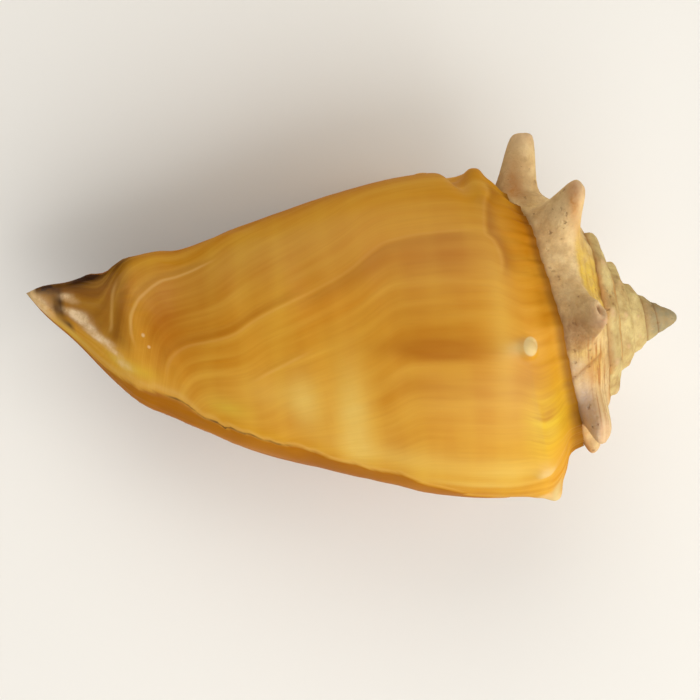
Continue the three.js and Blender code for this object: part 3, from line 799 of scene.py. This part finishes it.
# a thin painted shadow under the overhanging edge of the fold, laid with the painted shade of the
# flank and two stains
fold = np.exp(-((fold_distance(turned, along) - 0.3) / 0.3) ** 2) * smoothstep(0.1, 0.3, place)
marks["shade_and_stains"] = 0.7 * flank + 0.8 * fold * (turned < WALL_ANGLE)
marks["shade_and_stains"] += patches((10.5, 1, -737, 14, 0.4), (18.9, 1.2, -279, 5, 0.4))
by_seams = np.exp(-(place / 0.1) ** 2) + np.exp(-((1 - place) / 0.2) ** 2)
by_seams = by_seams * (turned < WALL_ANGLE - 40) * (turned > -760)
marks["orange"] = 0.8 * by_seams * smoothstep(-380, -430, turned)
marks["orange"] += patches(
    (13, 1.2, -383, 12, 0.6), (19.8, 1.1, -276, 6, 1.3), (13.8, 0.7, -313, 5, 1.3))
marks["lilac"] = patches((14.2, 1.3, -397, 9, 1.2), (15.3, 1.5, -378, 5, 0.6))
# pit: painted shade in the pit of the broken tip, with the pale chip in a ring around it
off_pit = np.hypot((turned + 355.3) / 1.3, (place - 0.58) / 0.035)
marks["pit"] = np.exp(-off_pit ** 2)
marks["light"] = 1.2 * np.exp(-((off_pit - 1.9) / 0.5) ** 2) * (turned < WALL_ANGLE)
marks["light"] += patches(
    (11.6, 1, -398, 12, 0.9), (19.4, 1.2, -269, 3, 0.4), (14, 2, -405, 9, 0.9),
    (15, 2, -312, 9, 0.7), (19, 3, -266, 6, 0.6), (12.6, 1, -369, 5, 0.9))


def on_surface(along, turned):
    """The last turn unrolled: mm along the shell and mm around it."""
    return np.stack([along, np.radians(turned) * body_half_width(along)], axis=-1)


def add_line(name, dark_width, fade, *line):
    """Marks a smooth line on the last turn through points (along, turned): mm to its side,
    and how near it is, which falls to 0 over the dark width and, in mm, towards both ends."""
    knots = np.arange(len(line))
    spread = np.linspace(0, len(line) - 1, 40)
    line_along, line_turned = (through_points(*zip(knots, values))(spread) for values in zip(*line))
    stations = on_surface(line_along, line_turned)
    lengths = np.hypot(*np.diff(stations, axis=0).T)
    here = on_surface(along, turned)
    nearest = np.full(along.shape, np.inf)
    sideways, travelled = np.zeros(along.shape), np.zeros(along.shape)
    for number, step in enumerate(np.diff(stations, axis=0)):
        off = here - stations[number]
        share = np.clip(off @ step / lengths[number] ** 2, 0, 1)
        off = off - share[:, None] * step
        distance = np.hypot(off[:, 0], off[:, 1])
        closer = distance < nearest
        nearest = np.where(closer, distance, nearest)
        side = (step[0] * off[:, 1] - step[1] * off[:, 0]) / lengths[number]
        sideways = np.where(closer, side, sideways)
        passed = lengths[:number].sum() + share * lengths[number]
        travelled = np.where(closer, passed, travelled)
    ends = np.minimum(travelled, lengths.sum() - travelled)
    near = smoothstep(dark_width, 0.5, nearest) * smoothstep(0, fade, ends + 0.05)
    marks[name + "_side"] = np.clip(sideways, -2, 2)
    marks[name + "_near"] = np.where(turned > WALL_ANGLE + 90, near, 0)


# Growth stops, where the rim of the shell stood for a while: pale lines with a dark side
add_line("stop_top", 3.4, 6, (51, 14), (49.3, 17), (42.3, 27), (36.8, 38), (31, 39.5), (24, 39.5))
add_line("stop_middle", 2.2, 5, (46, 21.5), (49.3, 17), (53.8, 10), (57, 2), (63, -6), (65.4, -20),
         (66.4, -43))
add_line("stop_canal", 1.6, 4, (58, 53), (63.3, 47), (65, 44.5), (67.3, 35), (68.8, 25), (69.8, 10),
         (69.9, -3), (69.3, -18))
add_line("stop_notch", 1, 1.5, (71.4, 46), (71.9, 36), (72.2, 18), (72.4, 0), (73, -12))
add_line("stop_low", 1.4, 4, (46.5, -5), (50.4, -13), (53.5, -20), (56, -27))
# the crease along the corner of the shoulder, whose dark side is a painted shadow
add_line("crease", 2.4, 3, (23.9, 19), (23.5, 26), (23.7, 30.3), (24.2, 34.5), (25.1, 38), (25, 43),
         (24.7, 51), (23.9, 61), (24.3, 72))
for name, values in marks.items():
    layer = shell_mesh.attributes.new(name, "FLOAT", "POINT")
    layer.data.foreach_set("value", values.astype(np.float32))
shell = bpy.data.objects.new("shell_surface", shell_mesh)
bpy.context.scene.collection.objects.link(shell)
shell_mesh.update()

# Aragonite: prisms of chalk in thin layers. The last turn is amber, dense and glossy, the
# turns of the spire are bleached to tan and cream and have a matt, pitted surface, and the
# callus and the inside are glazed orange. Light goes a millimetre into it.
aragonite, tree, shader = material("aragonite")
multiply = {"operation": "MULTIPLY"}
smooth = {"interpolation_type": "SMOOTHSTEP"}
mark = {name: node(tree, "ShaderNodeAttribute", {"attribute_name": name}).outputs["Fac"]
        for name in marks}
growth_place = node(tree, "ShaderNodeCombineXYZ", links={"X": mark["grown"], "Y": mark["along"]})
turn_place = node(tree, "ShaderNodeCombineXYZ", links={"X": mark["along"], "Y": mark["turned"]})
object_place = node(tree, "ShaderNodeTexCoord").outputs["Object"]
noise = {}

# Streaks along the growth lines, one to three millimetres wide, and finer ones; bands around
# the shell, where the mantle laid down colour more or less strongly; and folds along the turns
# of the spire. Each has its waves a millimetre, or a degree, across and along, and its detail.
for name, surface_place, waves, detail, roughness in (
        ("wide", growth_place, (0.42, 0.045, 0), 2, 0.5),
        ("fine", growth_place, (2.4, 0.11, 0), 4, 0.6),
        ("coarse", growth_place, (0.85, 0.09, 0), 2, 0.5),
        ("bands", growth_place, (0.05, 0.3, 0), 1, 0.5),
        ("folds", turn_place, (2.6, 0.05, 0), 2, 0.6)):
    stretched = node(tree, "ShaderNodeVectorMath", multiply,
                     {0: surface_place.outputs[0], 1: waves}).outputs[0]
    noise[name] = node(tree, "ShaderNodeTexNoise", links={
        "Vector": stretched, "Scale": 1, "Detail": detail, "Roughness": roughness}).outputs["Fac"]

# clouds, mottles and grains, by their waves a metre
for name, scale, detail, roughness in (
        ("cloud", 260, 3, 0.6), ("cloud_wide", 110, 3, 0.5),
        ("mottled", 900, 4, 0.7), ("grain", 1700, 5, 0.65)):
    noise[name] = node(tree, "ShaderNodeTexNoise", links={
        "Vector": object_place, "Scale": scale, "Detail": detail,
        "Roughness": roughness}).outputs["Fac"]

# what is laid down more or less with these: from two values of the noise to two shares
for name, source, start, end, share_at_start, share_at_end in (
        ("streaked", "wide", 0.26, 0.74, 0, 1), ("banded", "bands", 0.4, 0.8, 0, 0.5),
        ("broken", "wide", 0.25, 0.75, 1.2, 0.65), ("clouded", "cloud", 0.35, 0.65, 0, 1),
        ("clouded_wide", "cloud_wide", 0.35, 0.65, 0, 1),
        ("mottled", "mottled", 0.35, 0.6, 0.5, 1.1), ("specked", "mottled", 0.35, 0.6, 0.34, 0),
        ("folded", "folds", 0.44, 0.6, 0, 0.75), ("pit_size", "cloud", 0.4, 0.56, 0.32, 0.02)):
    mark[name] = node(tree, "ShaderNodeMapRange", links={
        "Value": noise[source], "From Min": start, "From Max": end,
        "To Min": share_at_start, "To Max": share_at_end}).outputs[0]

# small pits with a ragged edge, a millimetre apart, more of them in some places
ragged = node(tree, "ShaderNodeTexNoise", links={
    "Vector": object_place, "Scale": 2200, "Detail": 2}).outputs["Color"]
ragged = node(tree, "ShaderNodeVectorMath", {"operation": "SCALE"},
              {0: ragged, "Scale": 0.0008}).outputs[0]
pit_place = node(tree, "ShaderNodeVectorMath", {"operation": "ADD"},
                 {0: object_place, 1: ragged}).outputs[0]
pits = node(tree, "ShaderNodeTexVoronoi", links={
    "Vector": pit_place, "Scale": 950, "Randomness": 1}).outputs["Distance"]
pit_edge = node(tree, "ShaderNodeMath", {"operation": "SUBTRACT"},
                {0: mark["pit_size"], 1: pits}).outputs[0]
mark["pitted"] = node(tree, "ShaderNodeMapRange", smooth, {
    "Value": pit_edge, "From Min": 0, "From Max": 0.25}).outputs[0]


def paint_over(base, *layers):
    """Lays colours over a base, one after the other: the mark that says where, the colour,
    its share, and the marks that break it up."""
    for where, colour, share, *broken_by in layers:
        mask = mark[where]
        for name in broken_by:
            mask = node(tree, "ShaderNodeMath", multiply, {0: mask, 1: mark[name]}).outputs[0]
        mask = node(tree, "ShaderNodeMath", {**multiply, "use_clamp": True},
                    {0: mask, 1: share}).outputs[0]
        if isinstance(colour, str):
            colour = linear(colour)
        base = node(tree, "ShaderNodeMix", {"data_type": "RGBA"},
                    {0: mask, 6: base, 7: colour}).outputs[2]
    return base


# the last turn: streaks of amber, and the marks of its back, shoulder and canal; "dark" also lays a
# broad painted shade along the lip's side of the back
amber = paint_over(
    linear("#C4800C"), ("streaked", "#D69E34", 1), ("banded", "#DCA834", 1),
    ("dark", "#AA6400", 0.9, "broken"), ("orange_glow", "#E08A12", 0.5, "broken"),
    ("pale", "#E2BC5C", 0.9, "broken"), ("yellow", "#D4AE32", 0.85, "broken"),
    ("canal", "#845004", 0.85, "broken"), ("brown", "#2E1400", 1.3, "broken"),
    ("grey", "#2E1E16", 1.5, "mottled"), ("cream", "#EACCA0", 0.95, "mottled"),
    ("white", "#D2B87C", 1))

# the worn white cap of the knob and two white specks by the canal: along the shell, growth
# angle, half widths in mm and degrees, and how soft the edge is
for spot_along, spot_turned, half_along, half_turned, edge, hex_colour in (
        (21.05, -6, 0.88, 3.4, 1.1, "#D6BC80"), (68.4, -3, 0.2, 1.5, 1.6, "#D8B078"),
        (67.8, -12, 0.18, 1.2, 1.6, "#D8B078")):
    off = node(tree, "ShaderNodeVectorMath", {"operation": "SUBTRACT"},
               {0: turn_place.outputs[0], 1: (spot_along, spot_turned, 0)}).outputs[0]
    off = node(tree, "ShaderNodeVectorMath", {"operation": "DIVIDE"},
               {0: off, 1: (half_along, half_turned, 1)}).outputs[0]
    off = node(tree, "ShaderNodeVectorMath", {"operation": "LENGTH"}, {0: off}).outputs["Value"]
    mark["spot"] = node(tree, "ShaderNodeMapRange", smooth, {
        "Value": off, "From Min": 2 - edge, "From Max": edge, "To Min": 1, "To Max": 0}).outputs[0]
    amber = paint_over(amber, ("spot", hex_colour, 0.92))

# fine brown growth lines, strongest in the crescents on the shoulder
fine = node(tree, "ShaderNodeMix", links={
    0: mark["crescents"], 2: noise["fine"], 3: noise["coarse"]}).outputs[0]
fine_share = node(tree, "ShaderNodeMapRange", links={
    "Value": mark["crescents"], "To Min": 0.11, "To Max": 0.75})
mark["finely_lined"] = node(tree, "ShaderNodeMapRange", links={
    "Value": fine, "From Min": 0.42, "From Max": 0.72,
    "To Max": fine_share.outputs[0]}).outputs[0]
amber = paint_over(amber, ("finely_lined", "#A8641A", 1))

# the growth stops: a pale line, with a dark side that fades away from it; along the crease the dark
# side is a painted shadow
for name, dark_share, pale_share in (
        ("stop_top", 0.28, 0.1), ("stop_middle", 0.32, 0.16), ("stop_canal", 0.35, 0.45),
        ("stop_notch", 0.4, 0.3), ("stop_low", 0.18, 0.2), ("crease", 0.55, 0.1)):
    side = mark[name + "_side"]
    off = node(tree, "ShaderNodeMath", {"operation": "ABSOLUTE"}, {0: side}).outputs[0]
    for shape, distance, start, end, width in (
            ("dark_side", side, 0, 1, 0.7), ("pale_line", off, 1, 0, 0.38)):
        mark[shape] = node(tree, "ShaderNodeMapRange", smooth, {
            "Value": distance, "From Max": width, "To Min": start, "To Max": end}).outputs[0]
    amber = paint_over(amber, ("dark_side", "#9A5806", dark_share, name + "_near"),
                       ("pale_line", "#E2B468", pale_share, name + "_near"))

# the spire: tan walls and cream early turns, each in two tones, then what lies on them
mark["blunt_end"] = node(tree, "ShaderNodeMapRange", links={
    "Value": mark["spine"], "From Min": 0.7, "From Max": 1, "To Max": 0.4}).outputs[0]
cream = paint_over(linear("#B4945E"), ("clouded", "#DAC688", 1))
# painted shade on the broken spine's flank and along the fold, stains, and painted shade in the pit
# of its tip go over the tan
tan = paint_over(
    linear("#CEA66E"), ("clouded", "#E4C690", 1), ("early", cream, 1), ("specked", "#9A7046", 1),
    ("ramp", "#DDB84C", 0.9, "mottled"), ("apex", "#8A8066", 0.75, "mottled"),
    ("light", "#E6CC98", 0.8, "mottled"), ("lilac", "#CAB6A6", 0.8, "mottled"),
    ("orange", "#C0803C", 0.8, "mottled"), ("shade_and_stains", "#7E4E30", 0.8, "mottled"),
    ("pit", "#6A3A22", 0.9, "mottled"), ("folded", "#AE7038", 1, "folds"),
    ("pitted", "#866240", 0.42), ("blunt_end", "#D2A888", 1))

# the glaze: burnt orange, clearer near its edge, peach along the aperture and brown in the canal
glaze = paint_over(
    linear("#985400"), ("clouded_wide", "#B46E08", 1), ("thin_glaze", "#A4640A", 0.6, "broken"),
    ("peach", "#DCA468", 0.75, "broken"), ("canal_inside", "#5E3014", 0.8, "broken"),
    ("deep", "#C06A20", 0.6, "broken"))

# the crack: a thin dark line on the edge of the callus, open in some places only
crack_place = node(tree, "ShaderNodeMath", {"operation": "ADD"},
                   {0: mark["off_callus"], 1: 0.05}).outputs[0]
crack_place = node(tree, "ShaderNodeMath", {"operation": "ABSOLUTE"}, {0: crack_place}).outputs[0]
mark["crack_line"] = node(tree, "ShaderNodeMapRange", smooth, {
    "Value": crack_place, "From Min": 0.05, "From Max": 0.2, "To Min": 1, "To Max": 0}).outputs[0]
# the seam mark lays painted shade into the seams between turns; then the spine tips, glaze, rim and
# crack
colour = paint_over(
    tan, ("last", amber, 1), ("seam", "#7E4C14", 0.85), ("spine_tip", "#E6CC98", 0.4),
    ("glazed", glaze, 0.93), ("rim", "#D8AA58", 0.45),
    ("crack", "#3E2A14", 0.9, "crack_line", "clouded"))
tree.links.new(colour, shader.inputs["Base Color"])

# glossy on the last turn, matt on the spire, wet-looking on the callus, and less of the bright
# floor at grazing angles, where worn aragonite scatters it
roughness = node(tree, "ShaderNodeMapRange", links={
    "Value": mark["last"], "To Min": 0.68, "To Max": 0.44}).outputs[0]
roughness = node(tree, "ShaderNodeMix", links={
    0: mark["glazed"], 2: roughness, 3: 0.4}).outputs[0]
tree.links.new(roughness, shader.inputs["Roughness"])
shader.inputs["IOR"].default_value = 1.53
facing = node(tree, "ShaderNodeLayerWeight", links={"Blend": 0.5}).outputs["Facing"]
gloss = node(tree, "ShaderNodeMapRange", smooth, {
    "Value": facing, "From Min": 0.2, "From Max": 0.5, "To Min": 0.24, "To Max": 0.012}).outputs[0]
gloss = node(tree, "ShaderNodeMath", multiply, {0: gloss, 1: mark["open"]})
tree.links.new(gloss.outputs[0], shader.inputs["Specular IOR Level"])
shader.inputs["Subsurface Weight"].default_value = 0.12
shader.inputs["Subsurface Radius"].default_value = (1, 0.6, 0.25)
shader.inputs["Subsurface Scale"].default_value = 0.0012

# fine growth lines all over, and a pitted, grainy surface on the spire
grain = node(tree, "ShaderNodeMath", {"operation": "SUBTRACT"},
             {0: noise["grain"], 1: mark["pitted"]}).outputs[0]
grain = node(tree, "ShaderNodeMix", links={0: mark["last"], 2: grain, 3: 0.5}).outputs[0]
line_bump = node(tree, "ShaderNodeBump", links={
    "Strength": 0.25, "Distance": 0.0001, "Height": fine})
bump = node(tree, "ShaderNodeBump", links={
    "Strength": 0.6, "Distance": 0.0004, "Height": grain, "Normal": line_bump.outputs[0]})
tree.links.new(bump.outputs[0], shader.inputs["Normal"])
shell_mesh.materials.append(aragonite)

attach(shell, "root")
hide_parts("shell")
